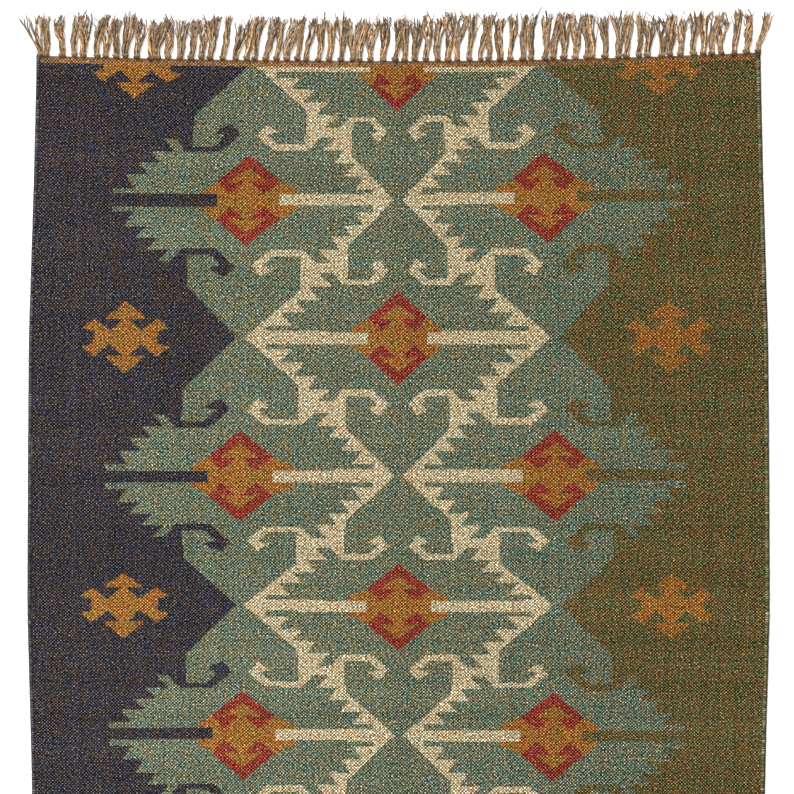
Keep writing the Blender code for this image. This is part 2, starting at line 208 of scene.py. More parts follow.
DRIFT_REACH = 2.0
DRIFT_POINTS = 801
WIDE_WINDOW = 63
NARROW_WINDOW = 31
CLOSE_STANDS = 10
BOW_FROM = 0.3
COLUMN_STEEPNESS = 1.6
EDGE_STAYS = 0.2
END_STAYS = 0.1
SIDE_IN_FULL_AT = 0.6


def drift(y, values):
    """A smooth curve along the rug: straight steps between values spread evenly over three lines of the
    pattern each side of the middle, averaged over 0.3 m, or over 0.15 m when they stand closer."""
    line = np.linspace(-DRIFT_REACH, DRIFT_REACH, DRIFT_POINTS)
    stands = np.linspace(-1.5, 1.5, len(values)) * repeat_length
    window = np.hanning(WIDE_WINDOW if len(values) < CLOSE_STANDS else NARROW_WINDOW)[1:-1]
    steps = np.pad(np.interp(line, stands, values), len(window) // 2, "edge")
    return np.interp(y, line, np.convolve(steps, window / window.sum(), "valid"))


def hand_woven(x, y):
    """Where a point of the true grid lies in the real cloth. x is stretched by the drift in width, y is moved
    by the uneven beat, and each corner bows outwards with the squares of its distances from the middle."""
    across = np.clip(x / half_width, -1.05, 1.05)
    past = np.abs(y) - BOW_FROM * half_length
    ends = np.clip(past / (0.7 * half_length), 0.0, 1.0) ** 2
    left, right = np.where(y[..., None] > 0, FAR_CORNER_BOW, -np.array(NEAR_CORNER_BOW)).T
    bow = np.where(x < 0, left.T, right.T) * across ** 2
    return x + across * drift(y, WIDER_BY), y + drift(y, BEATEN_UP_BY) + bow * ends


def as_counted(x, y):
    """Where the weaver put a point of the true pattern: moved aside by its column's drift, which passes to
    the next column's in an S-curve, and moved along by its side's drift, in full from 0.6 m outwards."""
    columns = np.array([drift(y, row) for row in STRAYED_BY])
    at = np.clip(np.searchsorted(COLUMNS, x) - 1, 0, len(COLUMNS) - 2)
    way = np.clip((x - COLUMNS[at]) / (COLUMNS[at + 1] - COLUMNS[at]), 0.0, 1.0)
    way = np.clip(COLUMN_STEEPNESS * way - 0.3, 0.0, 1.0)
    way = way * way * (3 - 2 * way)
    own = np.arange(len(x))
    aside = (1 - way) * columns[at, own] + way * columns[at + 1, own]
    edge = np.clip((half_width - np.abs(x)) / EDGE_STAYS, 0.0, 1.0)
    side = np.clip(np.abs(x) / SIDE_IN_FULL_AT, 0.0, 1.0)
    higher = np.where(x < 0, drift(y, LEFT_HIGHER_BY), drift(y, RIGHT_HIGHER_BY))
    ends = np.clip((half_length - np.abs(y)) / END_STAYS, 0.0, 1.0)
    return x + aside * edge, y + side * higher * ends


def low_waves(x, y):
    """Height of the slack in the cloth above the floor: three crossed waves, never below zero."""
    waves = np.sin(7.3 * x + 2.1 * y) + np.sin(3.9 * y - 4.4 * x + 1.0) + np.sin(9.7 * y + 0.6)
    return WAVE_HEIGHT * np.clip(WAVE_MIDDLE + WAVE_SWING * waves, 0.0, None)


warps = 2 * round(half_width / WARP_SPACING)
wefts = 2 * round(half_length / WEFT_SPACING)
true_x, true_y = np.meshgrid(
    np.linspace(cloth_left, cloth_right, warps + 1), np.linspace(cloth_near, cloth_far, wefts + 1)
)
warp_number, weft_number = np.meshgrid(np.arange(warps + 1), np.arange(wefts + 1))
crest = (warp_number + weft_number) % 2 == 0
shape = crest.shape


def uneven():
    """Random values for all crossings, less the mean of the three by three crossings around: where one
    stands proud it presses its neighbours down, so there's no run of thick ones."""
    grid = np.pad(random.standard_normal(shape), 1, "edge")
    rows = grid[:-2] + grid[1:-1] + grid[2:]
    mean = (rows[:, :-2] + rows[:, 1:-1] + rows[:, 2:]) / 9
    return grid[1:-1, 1:-1] - mean


# Hand-spun yarn is uneven: every crossing has its own thickness, each warp and weft a share of it.
thickness = 1 + THICK_AND_THIN * uneven()
thickness += (
    UNEVEN_YARN * random.standard_normal((1, warps + 1))
    + UNEVEN_YARN * random.standard_normal((wefts + 1, 1))
)
lattice_x, lattice_y = hand_woven(true_x, true_y)
lattice_x = lattice_x + ASIDE_AT_RANDOM * random.standard_normal(shape)
lattice_y = lattice_y + ALONG_AT_RANDOM * random.standard_normal(shape)
swell = RELIEF * np.where(crest, 1.0, -1.0) * np.clip(thickness, *THINNEST_AND_THICKEST)
lifted = low_waves(lattice_x, lattice_y)
lattice_top = cloth_top - RELIEF + swell + lifted
lattice_bottom = np.clip(RELIEF + UNDERSIDE_SHARE * swell, LEAST_CLEARANCE, None) + lifted

# How light the yarn is at each crossing: 1 on a crest, a painted highlight, -1 down in a pit, painted shade,
# uneven like the spinning, and a little faded on the left of the rug.
tone_and_painted_light = np.where(crest, 1.0, -1.0) + UNEVEN_TONE * uneven()
tone_and_painted_light += (
    UNEVEN_YARN * random.standard_normal((1, warps + 1))
    + UNEVEN_YARN * random.standard_normal((wefts + 1, 1))
)
tone_and_painted_light -= FADED_PER_M * lattice_x

cell_x = (true_x[1:, 1:] + true_x[1:, :-1]) / 2
cell_y = (true_y[1:, 1:] + true_y[:-1, 1:]) / 2


def outline_of(node):
    """The edges around a CAD node's upper face, as an array of (start, end) points: the edges of its
    highest level triangles that only one of those triangles uses."""
    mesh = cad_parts[node].data
    points = np.zeros(len(mesh.vertices) * 3)
    mesh.vertices.foreach_get("co", points)
    points = points.reshape(-1, 3)
    mesh.calc_loop_triangles()
    triangles = np.zeros(len(mesh.loop_triangles) * 3, int)
    mesh.loop_triangles.foreach_get("vertices", triangles)
    triangles = triangles.reshape(-1, 3)
    level = points[triangles, 2] > points[:, 2].max() - 1e-5
    upper = triangles[level.all(axis=1)]
    flat, same = np.unique(np.round(points[:, :2], 6), axis=0, return_inverse=True)
    flat = np.stack(as_counted(*flat.T), axis=1)
    edges = same.reshape(-1)[np.concatenate([upper[:, [0, 1]], upper[:, [1, 2]], upper[:, [2, 0]]])]
    edges, uses = np.unique(np.sort(edges, axis=1), axis=0, return_counts=True)
    return flat[edges[uses == 1]]


def cells_inside(node):
    """Which cells have their middle inside the node's outline. Walking along a row, every edge crossed
    flips inside to outside, so each edge flips all the cells to its right in the rows that it spans."""
    inside = np.zeros(cell_x.shape, bool)
    for start, end in outline_of(node):
        if start[1] == end[1]:
            continue
        low, high = (start, end) if start[1] < end[1] else (end, start)
        first, last = np.searchsorted(cell_y[:, 0], [low[1], high[1]])
        share = (cell_y[first:last, :1] - low[1]) / (high[1] - low[1])
        inside[first:last] ^= cell_x[first:last] > low[0] + share * (high[0] - low[0])
    return inside


woven_nodes = [
    node for node in sorted(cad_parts) if not node.startswith(("selvedge", "fringe"))
]
owner = np.full(cell_x.shape, -1)
for number, node in enumerate(woven_nodes):
    owner[cells_inside(node)] = number
while (owner < 0).any():
    # A cell whose middle falls in the gap between two colours goes to the colour on its left or below.
    owner = np.where(owner < 0, np.roll(owner, 1, axis=1), owner)
    owner = np.where(owner < 0, np.roll(owner, 1, axis=0), owner)
for _ in range(3):
    # Two cells of one colour that only meet at a corner are joined through the cell beside them.
    rising = owner[:-1, :-1] == owner[1:, 1:]
    rising &= owner[:-1, :-1] != owner[:-1, 1:]
    rising &= owner[:-1, :-1] != owner[1:, :-1]
    owner[:-1, 1:][rising] = owner[:-1, :-1][rising]
    falling = owner[:-1, 1:] == owner[1:, :-1]
    falling &= owner[:-1, 1:] != owner[:-1, :-1]
    falling &= owner[:-1, 1:] != owner[1:, 1:]
    owner[:-1, :-1][falling] = owner[:-1, 1:][falling]


def quad_mesh(name, points, quads, material, smooth):
    """A mesh object of four-sided faces, put together from whole arrays."""
    mesh = bpy.data.meshes.new(name)
    mesh.vertices.add(len(points))
    mesh.vertices.foreach_set("co", np.ascontiguousarray(points, np.float32).ravel())
    mesh.loops.add(quads.size)
    mesh.loops.foreach_set("vertex_index", np.ascontiguousarray(quads, np.int32).ravel())
    mesh.polygons.add(len(quads))
    mesh.polygons.foreach_set("loop_start", np.arange(0, quads.size, 4, dtype=np.int32))
    mesh.polygons.foreach_set("use_smooth", np.full(len(quads), smooth))
    mesh.update(calc_edges=True)
    mesh.materials.append(material)
    piece = bpy.data.objects.new(name, mesh)
    bpy.context.scene.collection.objects.link(piece)
    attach(piece, "root")
    return piece


def set_tone(piece, values):
    """Writes how light the yarn is at each point of a piece, its own uneven tone together with painted
    highlight and painted shade, for its material to read.
    """
    tone = piece.data.attributes.new("tone_and_painted_light", "FLOAT", "POINT")
    tone.data.foreach_set("value", np.ascontiguousarray(values, np.float32).ravel())


def lay_out(piece, uv):
    """Gives a piece a UV map with this place for each corner of each face, shrunk to fill the map."""
    layer = piece.data.uv_layers.new(name="OFBake")
    spread = (uv - uv.min(axis=(0, 1))) / np.maximum(np.ptp(uv, axis=(0, 1)), 1e-9)
    layer.data.foreach_set("uv", np.ascontiguousarray(0.002 + 0.996 * spread, np.float32).ravel())


def woven_block(name, own, material):
    """The part of the lattice whose cells are marked in own, as one closed slab. The upper and lower faces
    take each cell's four corners, and a wall closes each side where the next cell isn't its own. Points on
    the border step in by half the gap between two colours."""
    count = crest.size
    across = warps + 1
    weft, warp = np.nonzero(own)
    corner = weft * across + warp
    upper = np.stack([corner, corner + 1, corner + across + 1, corner + across], axis=1)
    turned = (weft + warp) % 2 == 0
    upper = np.where(turned[:, None], np.roll(upper, 1, axis=1), upper)
    around = np.pad(own, 1)
    beside = {
        (0, -1): (around[:-2, 1:-1], 0, 1),
        (1, 0): (around[1:-1, 2:], 1, across + 1),
        (0, 1): (around[2:, 1:-1], across + 1, across),
        (-1, 0): (around[1:-1, :-2], across, 0),
    }
    faces = [upper, upper[:, ::-1] + count]
    outward = [np.zeros((2 * len(upper), 2))]
    for side, (next_cell, start, end) in beside.items():
        edge = corner[(own & ~next_cell)[own]]
        faces.append(np.stack([edge + end, edge + start, edge + start + count, edge + end + count], axis=1))
        outward.append(np.tile(side, (len(edge), 1)))
    faces = np.concatenate(faces)
    used, quads = np.unique(faces, return_inverse=True)
    quads = quads.reshape(faces.shape)

    corners = np.zeros((2, wefts + 1, warps + 1))
    for up, right in ((0, 0), (0, 1), (1, 0), (1, 1)):
        owned = around[up:up + wefts + 1, right:right + warps + 1]
        corners += owned * np.array([2 * right - 1, 2 * up - 1])[:, None, None]
    inset = CLOTH_GAP * np.sign(corners)
    x = (lattice_x + inset[0]).ravel()
    y = (lattice_y + inset[1]).ravel()
    place = used % count
    below = used >= count
    height = np.where(below, lattice_bottom.ravel()[place], lattice_top.ravel()[place])
    points = np.stack([x[place], y[place], height], axis=1)
    piece = quad_mesh(name, points, quads, material, smooth=False)
    set_tone(piece, tone_and_painted_light.ravel()[place])

    # Upper and lower faces lie side by side on the map, and each wall is a narrow strip along its edge.
    flat = points[quads][:, :, :2]
    size = np.ptp(points[:, :2], axis=0) + 0.01
    aside = np.array([size[0], 0.0]) if size[0] < size[1] else np.array([0.0, size[1]])
    flat[len(upper):2 * len(upper)] += aside
    flat[:, 2:] += (0.0015 * np.concatenate(outward))[:, None, :]
    lay_out(piece, flat)
    return piece


def shaded(tree, colour, steps):
    """Moves a colour lighter or darker in steps of equal size to the eye: the same step is added to the 2.4th
    root of all three channels. It carries the painted highlight that turns crests paler and the painted shade
    that leaves pits deep and saturated."""
    seen = add(tree, "ShaderNodeGamma", {"Color": colour, "Gamma": 1 / 2.4})
    moved = add(tree, "ShaderNodeVectorMath", {0: seen.outputs[0], 1: steps}, operation="ADD")
    kept = add(
        tree, "ShaderNodeVectorMath", {0: moved.outputs[0], 1: (0.03, 0.03, 0.03)}, operation="MAXIMUM"
    )
    return add(tree, "ShaderNodeGamma", {"Color": kept.outputs[0], "Gamma": 2.4}).outputs[0]


def wool(name, colour, warm, cool, contrast=0.37, streak=0.015):
    """Hand-spun wool weft. Natural wool is dyed in small lots, so the colour wanders between a warm and a
    cool cast and shifts in bands across the rug, with faint streaks along the warps. It is matt and
    slightly furry, with a soft glow at the rim."""
    material, tree, shader = finish_material(
        name, roughness=0.92, ior=1.54, specular_ior_level=0.15, sheen_weight=0.04, sheen_roughness=0.5
    )
    at = add(tree, "ShaderNodeTexCoord").outputs["Object"]
    cast = add(tree, "ShaderNodeTexNoise", {"Vector": at, "Scale": 34.0, "Detail": 2.0, "Roughness": 0.6})
    spread = add(tree, "ShaderNodeMapRange", {0: cast.outputs[0], 1: 0.36, 2: 0.64})
    either = add(
        tree, "ShaderNodeMix", {0: spread.outputs[0], 6: linear(cool), 7: linear(warm)}, data_type="RGBA"
    )
    dyed = add(tree, "ShaderNodeMix", {0: 0.85, 6: linear(colour), 7: either.outputs[2]}, data_type="RGBA")
    along = add(tree, "ShaderNodeMapping", {"Vector": at, "Scale": (0.7, 9.0, 1.0)})
    abrash = add(tree, "ShaderNodeTexNoise", {"Vector": along.outputs[0], "Scale": 1.0, "Detail": 2.0})
    bands = add(tree, "ShaderNodeMapRange", {0: abrash.outputs[0], 1: 0.3, 2: 0.7, 3: -0.02, 4: 0.02})
    upright = add(tree, "ShaderNodeMapping", {"Vector": at, "Scale": (60.0, 1.6, 1.0)})
    warp_lines = add(tree, "ShaderNodeTexNoise", {"Vector": upright.outputs[0], "Scale": 1.0, "Detail": 2.0})
    streaks = add(
        tree, "ShaderNodeMapRange", {0: warp_lines.outputs[0], 1: 0.3, 2: 0.7, 3: -streak, 4: streak}
    )
    tufts = add(tree, "ShaderNodeTexNoise", {"Vector": at, "Scale": 420.0, "Detail": 1.0})
    speck = add(tree, "ShaderNodeMapRange", {0: tufts.outputs[0], 1: 0.3, 2: 0.7, 3: -0.7, 4: 0.7})
    # The tone attribute puts a painted highlight on each crest and painted shade in each pit, with the yarn's
    # own uneven tone; the tufts add specks of their own.
    tone = add(tree, "ShaderNodeAttribute", attribute_name="tone_and_painted_light")
    mixed = add(tree, "ShaderNodeMath", {0: tone.outputs["Fac"], 1: speck.outputs[0]}, operation="ADD")
    woven = add(tree, "ShaderNodeMath", {0: mixed.outputs[0], 1: contrast}, operation="MULTIPLY")
    steps = add(tree, "ShaderNodeMath", {0: bands.outputs[0], 1: streaks.outputs[0]}, operation="ADD")
    steps = add(tree, "ShaderNodeMath", {0: steps.outputs[0], 1: woven.outputs[0]}, operation="ADD")
    coloured = shaded(tree, dyed.outputs[2], steps.outputs[0])
    tree.links.new(coloured, shader.inputs["Base Color"])
    fibres = add(tree, "ShaderNodeTexNoise", {"Vector": at, "Scale": 900.0, "Detail": 3.0})
    fur = add(tree, "ShaderNodeBump", {"Height": fibres.outputs[0], "Strength": 0.5, "Distance": 0.0006})
    tree.links.new(fur.outputs[0], shader.inputs["Normal"])
    return material


SPARSE_SHARE = 0.31


def lay_cloth(node, material):
    """Weaves the cells that belong to a CAD node as one slab and hides the node. For a block that fills little
    of its box it works out the width of a plain strip of the same length and area, which nothing then uses.
    """
    own = owner == woven_nodes.index(node)
    piece = woven_block("woven_" + node, own, material)
    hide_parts(node)
    low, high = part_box(node)
    width = high.x - low.x
    length = high.y - low.y
    area = own.sum() * (cell_x[0, 1] - cell_x[0, 0]) * (cell_y[1, 0] - cell_y[0, 0])
    if area < SPARSE_SHARE * width * length:
        width = area / length


# ---------------------------------------------------------------------------------------------
# The blocks of colour, each woven from its own dyed wool with a hair's breadth to its neighbours: two
# dark grounds with orange crosses, green bands, two cream zigzags, and three columns of ochre
# diamonds with red caps.
# ---------------------------------------------------------------------------------------------
navy_wool = wool("navy_wool", "#322b2c", "#3d2e25", "#272a39", contrast=0.30)
olive_wool = wool("olive_wool", "#64542d", "#725526", "#555c32", contrast=0.30)
sage_wool = wool("sage_wool", "#696f56", "#756f4e", "#5b705f")
green_wool = wool("green_wool", "#6a6f55", "#787150", "#5b6f5d")
teal_wool = wool("teal_wool", "#697157", "#797050", "#597261")
cream_wool = wool("cream_wool", "#bdac88", "#c1a984", "#b8af8e", contrast=0.42, streak=0.0)
ochre_wool = wool("ochre_wool", "#966521", "#a0601e", "#8d6b26", contrast=0.31, streak=0.0)
red_wool = wool("red_wool", "#882d1a", "#902c17", "#7d311c", contrast=0.31, streak=0.0)
orange_wool = wool("orange_wool", "#966522", "#a1611f", "#8c6a26", contrast=0.31, streak=0.0)

for node in woven_nodes:
    if node == "navy_ground":
        lay_cloth(node, navy_wool)
    elif node == "olive_ground":
        lay_cloth(node, olive_wool)
    elif node.startswith("green_left"):
        lay_cloth(node, sage_wool)
    elif node.startswith("green_middle"):
        lay_cloth(node, green_wool)
    elif node.startswith("green_right"):
        lay_cloth(node, teal_wool)
    elif node.startswith("cream_zigzag"):
        lay_cloth(node, cream_wool)
    elif "_cap_" in node:
        lay_cloth(node, red_wool)
    elif node.startswith("diamond"):
        lay_cloth(node, ochre_wool)
    elif node.startswith("cross"):
        lay_cloth(node, orange_wool)

# ---------------------------------------------------------------------------------------------
# The headers: a narrow band of plain brown jute woven across each end, which locks the wefts
# in before the warps are knotted into the fringe.
# ---------------------------------------------------------------------------------------------
header_jute = wool("header_jute", "#957243", "#a26c3c", "#7d6742", contrast=0.26, streak=0.05)
for node in ("header_far", "header_near"):
    lay_cloth(node, header_jute)

# ---------------------------------------------------------------------------------------------
# The selvedges: a thick cord of outer warps down each long side, wrapped turn beside turn with the
# ground's own yarn, so its outline is finely ridged.
# ---------------------------------------------------------------------------------------------
WRAP_SPACING = 0.0074
RINGS_PER_WRAP = 4
CORD_SIDES = 12
CORD_INWARDS = 0.0010
WRAP_RELIEF = 0.10
SLACK_RINGS = 61
SLACK_ASIDE = 0.0005
SLACK_SWELL = 0.05
LOOSE_WRAP = 0.04
WIDER_SHARE = 0.08


def tubes(name, paths, widths, heights, sides, material, closed=False, columns=1):
    """Many tubes as one mesh. paths is (tube, ring, 3) and widths and heights, the half sizes of each ring,
    are (tube, ring) or (tube, ring, side). A ring stands square to its path, width to the side and height
    upwards. Ends are closed with flat faces, or a closed path is joined to its start."""
    tube_count, ring_count, _ = paths.shape
    ahead = np.roll(paths, -1, axis=1) - np.roll(paths, 1, axis=1)
    if not closed:
        ahead[:, 0] = paths[:, 1] - paths[:, 0]
        ahead[:, -1] = paths[:, -1] - paths[:, -2]
    ahead /= np.linalg.norm(ahead, axis=2, keepdims=True)
    aside = np.cross(ahead, [0.0, 0.0, 1.0])
    aside /= np.maximum(np.linalg.norm(aside, axis=2, keepdims=True), 1e-9)
    up = np.cross(aside, ahead)
    turn = np.arange(sides) * 2 * np.pi / sides
    widths = widths[..., None] if widths.ndim == 2 else widths
    heights = heights[..., None] if heights.ndim == 2 else heights
    ring = aside[:, :, None] * (widths * np.cos(turn))[..., None]
    ring = ring + up[:, :, None] * (heights * np.sin(turn))[..., None]
    points = (paths[:, :, None] + ring).reshape(-1, 3)
    number = np.arange(tube_count * ring_count * sides).reshape(tube_count, ring_count, sides)
    onward = np.roll(number, -1, axis=1) if closed else number[:, 1:]
    here = number if closed else number[:, :-1]
    quads = np.stack([here, onward, np.roll(onward, -1, axis=2), np.roll(here, -1, axis=2)], axis=-1)
    rows = here.shape[1]
    along, around = np.meshgrid(np.arange(rows) / rows, np.arange(sides) / sides, indexing="ij")
    next_along = along + 1 / rows
    next_around = around + 1 / sides
    uv = np.stack([
        np.stack([around, along], -1), np.stack([around, next_along], -1),
        np.stack([next_around, next_along], -1), np.stack([next_around, along], -1),
    ], axis=-2)
    tube = np.arange(tube_count)
    home = np.stack([tube % columns, tube // columns], axis=1)
    uv = uv[None] * 0.92 + home[:, None, None, None, :]
    quads = quads.reshape(-1, 4)
    uv = uv.reshape(-1, 4, 2)
    if not closed:
        fan = np.arange(sides // 2 - 1) * 2
        lid = np.stack([np.zeros_like(fan), fan + 1, fan + 2, fan + 3], axis=1)
        first = number[:, 0][:, lid].reshape(-1, 4)
        last = number[:, -1][:, lid[:, ::-1]].reshape(-1, 4)
        quads = np.concatenate([quads, first, last])
        spot = np.stack([np.cos(turn), np.sin(turn)], axis=1) * 0.02 + 0.95
        lid_uv = np.tile(spot[lid][None], (tube_count, 1, 1, 1)) + home[:, None, None, :]
        far_lid_uv = lid_uv[:, :, ::-1] - [0.0, 0.5]
        uv = np.concatenate([uv, lid_uv.reshape(-1, 4, 2), far_lid_uv.reshape(-1, 4, 2)])
    piece = quad_mesh(name, points, quads, material, smooth=True)
    lay_out(piece, uv)
    return piece


def wrapped_cord(node, inwards, light_side, material):
    """A selvedge: an oval tube along the cloth's edge, whose half sizes swell and shrink once a wrap, with the
    swelling wound round the cord like the yarn is. The wraps get a painted highlight along one line, at the
    angle light_side round the cord, and on their ridges on that side, and painted shade down where they meet
    the cloth."""
    low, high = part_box(node)
    rings = round((high.y - low.y) / WRAP_SPACING * RINGS_PER_WRAP)
    y = np.linspace(low.y, high.y, rings)
    jitter = random.standard_normal(rings + SLACK_RINGS - 1)
    slack = np.convolve(jitter, np.hanning(SLACK_RINGS) / 6.0, "valid")
    x = (low.x + high.x) / 2 + inwards * (CORD_INWARDS + SLACK_ASIDE * slack)
    bent_x, bent_y = hand_woven(x, y)
    half_high = (high.z - low.z) / 2
    path = np.stack([bent_x, bent_y, half_high + low_waves(bent_x, bent_y)], axis=1)[None]
    turn = np.arange(CORD_SIDES) * 2 * np.pi / CORD_SIDES
    wound = np.cos(2 * np.pi * y[:, None] / WRAP_SPACING + turn[None, :])
    wrap = np.arange(rings) // RINGS_PER_WRAP
    loose = random.standard_normal(wrap[-1] + 1)[wrap][:, None]
    swell = 1 + SLACK_SWELL * slack[:, None] + LOOSE_WRAP * loose + WRAP_RELIEF * (wound - 1)
    half_wide = (high.x - low.x) / 2
    piece = tubes(
        "wrapped_" + node, path, half_wide * (swell + WIDER_SHARE)[None],
        half_high * np.clip(swell, 0, 1)[None], CORD_SIDES, material,
    )
    # Painted highlight on the side toward light_side and on the wrap ridges there, painted shade underneath,
    # with a random tone for each wrap.
    facing_lamp = np.cos(turn - light_side)
    lit = 1.4 * facing_lamp ** 3 - 0.5 + 1.1 * wound * (facing_lamp > 0.0) + 0.35 * loose
    set_tone(piece, 1.2 * lit + 0.3 * random.standard_normal((rings, 1)))
    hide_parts(node)


navy_cord = wool("navy_cord_wool", "#1c1820", "#1f181c", "#191921", contrast=0.14)
olive_cord = wool("olive_cord_wool", "#383216", "#3e3215", "#323418", contrast=0.14)
wrapped_cord("selvedge_left", +1, np.radians(95), navy_cord)
wrapped_cord("selvedge_right", -1, np.radians(115), olive_cord)

# ---------------------------------------------------------------------------------------------
# The fringe: the jute warps come out of the header in groups. Each group is tied in an overhand
# knot close against the cloth, and its loose ends splay, wave and fray on the floor.
# ---------------------------------------------------------------------------------------------
TASSELS = 68
STRANDS = 16
STRAND_RADIUS = 0.0022
STRAND_SEGMENTS = 13
STRAND_SIDES = 6
KNOT_SEGMENTS = 36
KNOT_SIDES = 6
KNOT_ROPE = 0.0048
KNOT_LENGTH = 0.017
KNOT_WIDTH = 0.027
TWINE_RINGS = 8
TWINE_RADIUS = 0.0019
CORNER_SPLAY = 0.30
SHADED_STRAND = 0.55
TASSEL_ASIDE = 0.13
END_TASSEL_ASIDE = 0.4
OUTERMOST_LEANS = (-0.05, 0.04, 0.28)
STRAY_SHARE = 0.12
BENDS_FROM_KNOT = 0.006
BUNDLE_LIFT = 0.0026
BUNDLE_RISE = 0.0036
PLY_LENGTH = 0.017
KNOT_OUT = 0.0100
KNOT_LIFT = 0.0078
KNOT_RISE = 0.0032
KNOTS_IN_A_ROW = 17
TURNS_PER_TASSEL = 3
TWINE_OUT = 0.0025
TWINE_LIFT = 0.0042
TWINE_WIND = 0.0016

# How far the tassels were combed sideways, at a few places along the end, as a share of their length.
LEAN_AT = (-1.20, -0.85, -0.60, -0.35, 0.10, 0.60, 1.20)
LEANS = (0.01, 0.08, 0.20, 0.16, 0.05, 0.03, 0.12)
# How long the tassels are at the same places, as a share of the fringe's own length.
LENGTHS = (1.00, 1.02, 1.04, 1.05, 1.09, 1.13, 1.04)


def jute(name, colour, pale, dark):
    """Twisted jute yarn. The bast fibres are stiff, straw to brown, and lie in long slanting bundles; each
    strand is striped with painted highlight and painted shade round its twist."""
    material, tree, shader = finish_material(name, roughness=0.8, ior=1.53, specular_ior_level=0.25)
    at = add(tree, "ShaderNodeTexCoord").outputs["Object"]
    blotch = add(tree, "ShaderNodeTexNoise", {"Vector": at, "Scale": 120.0, "Detail": 3.0, "Roughness": 0.7})
    spread = add(tree, "ShaderNodeMapRange", {0: blotch.outputs[0], 1: 0.34, 2: 0.66})
    either = add(
        tree, "ShaderNodeMix", {0: spread.outputs[0], 6: linear(dark), 7: linear(pale)}, data_type="RGBA"
    )
    spun = add(tree, "ShaderNodeMix", {0: 0.7, 6: linear(colour), 7: either.outputs[2]}, data_type="RGBA")
    # The tone attribute scales the colour: each strand's own tone, with painted highlight and painted shade.
    tone = add(tree, "ShaderNodeAttribute", attribute_name="tone_and_painted_light")
    coloured = add(
        tree, "ShaderNodeVectorMath", {0: spun.outputs[2], 3: tone.outputs["Fac"]}, operation="SCALE"
    )
    tree.links.new(coloured.outputs[0], shader.inputs["Base Color"])
    fibres = add(tree, "ShaderNodeTexNoise", {"Vector": at, "Scale": 700.0, "Detail": 3.0})
    ply = add(tree, "ShaderNodeBump", {"Height": fibres.outputs[0], "Strength": 0.6, "Distance": 0.0005})
    tree.links.new(ply.outputs[0], shader.inputs["Normal"])
    return material


fringe_jute = jute("fringe_jute", "#80654a", "#a88b66", "#553b25")


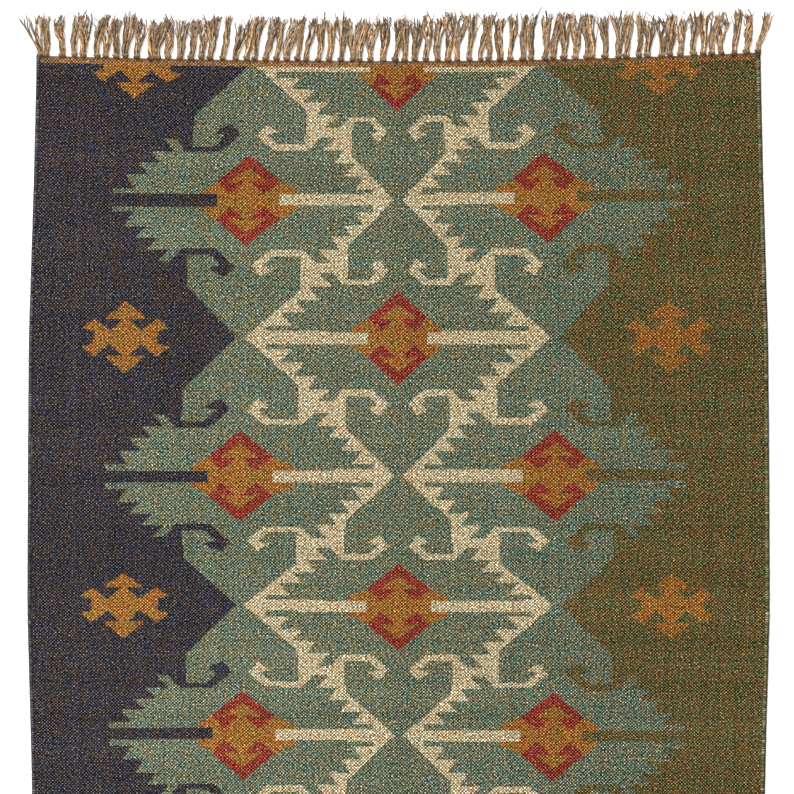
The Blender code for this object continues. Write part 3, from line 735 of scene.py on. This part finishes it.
def fringe(node, away):
    """One end's fringe. away is +1 at the far end and -1 at the near one. A strand leaves its knot beside its
    neighbours, leans with its tassel, and drifts from the tassel's middle line with a power of its length,
    while two waves of its own bend it; strays drift further and curl over at the tip."""
    low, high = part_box(node)
    root = low.y if away > 0 else high.y
    reach = high.y - low.y
    pitch = (high.x - low.x) / TASSELS
    middle = low.x + pitch * (np.arange(TASSELS) + 0.5)
    middle = middle + TASSEL_ASIDE * pitch * random.standard_normal(TASSELS)
    middle[1] -= END_TASSEL_ASIDE * pitch
    middle[-1] += END_TASSEL_ASIDE * pitch
    root_x, root_y = hand_woven(middle, np.full(TASSELS, root))
    root_wave = low_waves(root_x, root_y)
    lean = np.interp(middle, LEAN_AT, LEANS) + 0.06 * random.standard_normal(TASSELS)
    lean[[0, 1, -1]] = OUTERMOST_LEANS
    reach_each = reach * (np.interp(middle, LEAN_AT, LENGTHS) + 0.05 * random.standard_normal(TASSELS))

    along = np.linspace(0.0, 1.0, STRAND_SEGMENTS + 1)
    one = (TASSELS, 1, 1)
    many = (TASSELS, STRANDS, 1)
    bundle = random.random(one) * 2 * np.pi + np.arange(STRANDS)[None, :, None] * 2 * np.pi / STRANDS
    bundle = bundle + 0.5 * random.standard_normal(many)
    own_lean = lean[:, None, None] + 0.02 * random.standard_normal(many)
    own_lean[0, ::2] -= CORNER_SPLAY
    twist = 2.4 * random.standard_normal(one)
    loosen = 0.9 + 1.2 * random.random(one)
    spread_to = np.abs(0.012 + 0.006 * random.standard_normal(one))
    stray = random.random(many) < STRAY_SHARE
    thick = 0.0044 + 0.0036 * random.random(many)
    spread = thick + 0.002 * along + spread_to * (0.2 + 1.0 * random.random(many)) * along ** loosen
    spread = spread * np.where(stray, 1.0 + 1.1 * along ** 2, 1.0)
    angle = bundle + twist * along
    length = reach_each[:, None, None] * (0.95 + 0.06 * random.standard_normal(many)).clip(0.6, 1.2)
    length = length * np.where(stray, 1.08, 1.0)
    sway = 0.004 * np.sin(2 * np.pi * (along * 0.8 + random.random(one)))
    waves = 1.2 + 2.2 * random.random(many)
    own_wave = 0.0016 * np.sin(2 * np.pi * (along * waves + random.random(many)))
    tip_curl = np.where(stray, 0.018, 0.005) * random.standard_normal(many) * along ** 5
    x = root_x[:, None, None] + own_lean * length * along ** 1.3
    x = x + (sway + own_wave) * np.minimum(1, 4 * along) + spread * np.cos(angle) + tip_curl
    y = root_y[:, None, None] + away * (BENDS_FROM_KNOT + length * along * np.cos(own_lean))
    y = y + 0.0015 * np.sin(9 * along + bundle)
    z = BUNDLE_LIFT + BUNDLE_RISE * (1 + np.sin(angle)) * (1 - 0.5 * along)
    z = z + root_wave[:, None, None] * (1 - along) ** 2
    paths = np.stack(np.broadcast_arrays(x, y, z), axis=-1).reshape(-1, STRAND_SEGMENTS + 1, 3)
    taper = STRAND_RADIUS * (1 - 0.35 * along ** 4) * (0.7 + 0.5 * random.random(many))
    taper = taper * np.where(stray, 0.6, 1.0)
    radii = np.broadcast_to(taper, (TASSELS, STRANDS, STRAND_SEGMENTS + 1)).reshape(-1, STRAND_SEGMENTS + 1)
    strands = tubes(
        "loose_ends_" + node, paths, radii, radii * 0.95, STRAND_SIDES, fringe_jute, columns=TASSELS
    )
    own_tone = np.exp(0.35 * random.standard_normal(many)) * np.where(stray, 0.55, 1.0)
    own_tone[:, ::2] *= SHADED_STRAND
    # Painted shade on the strands low in the bundle and a painted highlight on the top ones.
    own_tone = own_tone * (0.35 + 0.90 * (0.5 + 0.5 * np.sin(angle)) ** 0.8) * 1.4
    own_tone = own_tone * (1 - 0.12 * along ** 3)
    own_tone = own_tone.reshape(-1, STRAND_SEGMENTS + 1, 1)
    turn = np.arange(STRAND_SIDES) * 2 * np.pi / STRAND_SIDES
    # Painted highlight and painted shade in stripes round each strand's twist.
    ply = 0.25 * np.cos(turn + 2 * np.pi * along[:, None] * reach / PLY_LENGTH)
    spots = 0.18 * random.standard_normal(own_tone.shape)
    set_tone(strands, np.clip(own_tone * (1 + ply[None] + spots), 0.10, None))

    knot = np.arange(KNOT_SEGMENTS) * 2 * np.pi / KNOT_SEGMENTS
    tilt = 0.3 * random.standard_normal((TASSELS, 1))
    across = (np.sin(knot) + 2 * np.sin(2 * knot)) * (KNOT_WIDTH / 2 - KNOT_ROPE) / 3
    forth = (np.cos(knot) - 2 * np.cos(2 * knot)) * (KNOT_LENGTH / 2 - KNOT_ROPE) / 2.4
    flip = np.where(random.random((TASSELS, 1)) < 0.5, -1.0, 1.0)
    swell = 1 + 0.12 * random.standard_normal((TASSELS, 1))
    knot_x = root_x[:, None] + flip * swell * (across * np.cos(tilt) - forth * np.sin(tilt))
    knot_y = root_y[:, None] + away * (KNOT_OUT + 0.0015 * random.standard_normal((TASSELS, 1)))
    knot_y = knot_y + swell * (across * np.sin(tilt) + forth * np.cos(tilt))
    knot_z = KNOT_LIFT - KNOT_RISE * np.sin(3 * knot)[None] + root_wave[:, None]
    knot_path = np.stack(np.broadcast_arrays(knot_x, knot_y, knot_z), axis=-1)
    rope = np.full(knot_path.shape[:2], KNOT_ROPE)
    knots = tubes(
        "knots_" + node, knot_path, rope, rope, KNOT_SIDES, fringe_jute, closed=True,
        columns=KNOTS_IN_A_ROW,
    )
    turn = np.arange(KNOT_SIDES) * 2 * np.pi / KNOT_SIDES
    # Painted highlight and painted shade in stripes round the knot's rope.
    ply = 0.25 * np.cos(2 * turn[None, :] + 5 * knot[:, None])
    crease = np.clip(away * (knot_y - root_y[:, None]) / KNOT_LENGTH, 0.0, 1.0)[:, :, None]
    shade = 0.25 + 1.0 * crease + 0.12 * random.standard_normal((TASSELS, 1, 1)) + ply[None]
    set_tone(knots, np.clip(shade, 0.12, None))

    # Two strands of weft are twined round the warps, three full turns to a tassel, to hold the header.
    rings = TASSELS * TURNS_PER_TASSEL * TWINE_RINGS
    span = np.linspace(low.x, high.x, rings)
    twine_x, twine_y = hand_woven(span, np.full(rings, root))
    wind = np.arange(2)[:, None] * np.pi + 2 * np.pi * np.arange(rings)[None, :] / TWINE_RINGS
    twine_y = twine_y + away * TWINE_OUT + TWINE_WIND * np.sin(wind)
    twine_z = TWINE_LIFT + TWINE_WIND * np.cos(wind) + low_waves(span, np.full(rings, root))
    twine_path = np.stack(np.broadcast_arrays(twine_x, twine_y, twine_z), axis=-1)
    yarn = np.full(wind.shape, TWINE_RADIUS)
    twine = tubes("twining_" + node, twine_path, yarn, yarn, STRAND_SIDES, fringe_jute, columns=2)
    set_tone(twine, 1.0 + 0.3 * random.standard_normal((2, rings, STRAND_SIDES)))
    for piece in (strands, knots, twine):
        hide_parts(node)


fringe("fringe_far", +1)
fringe("fringe_near", -1)
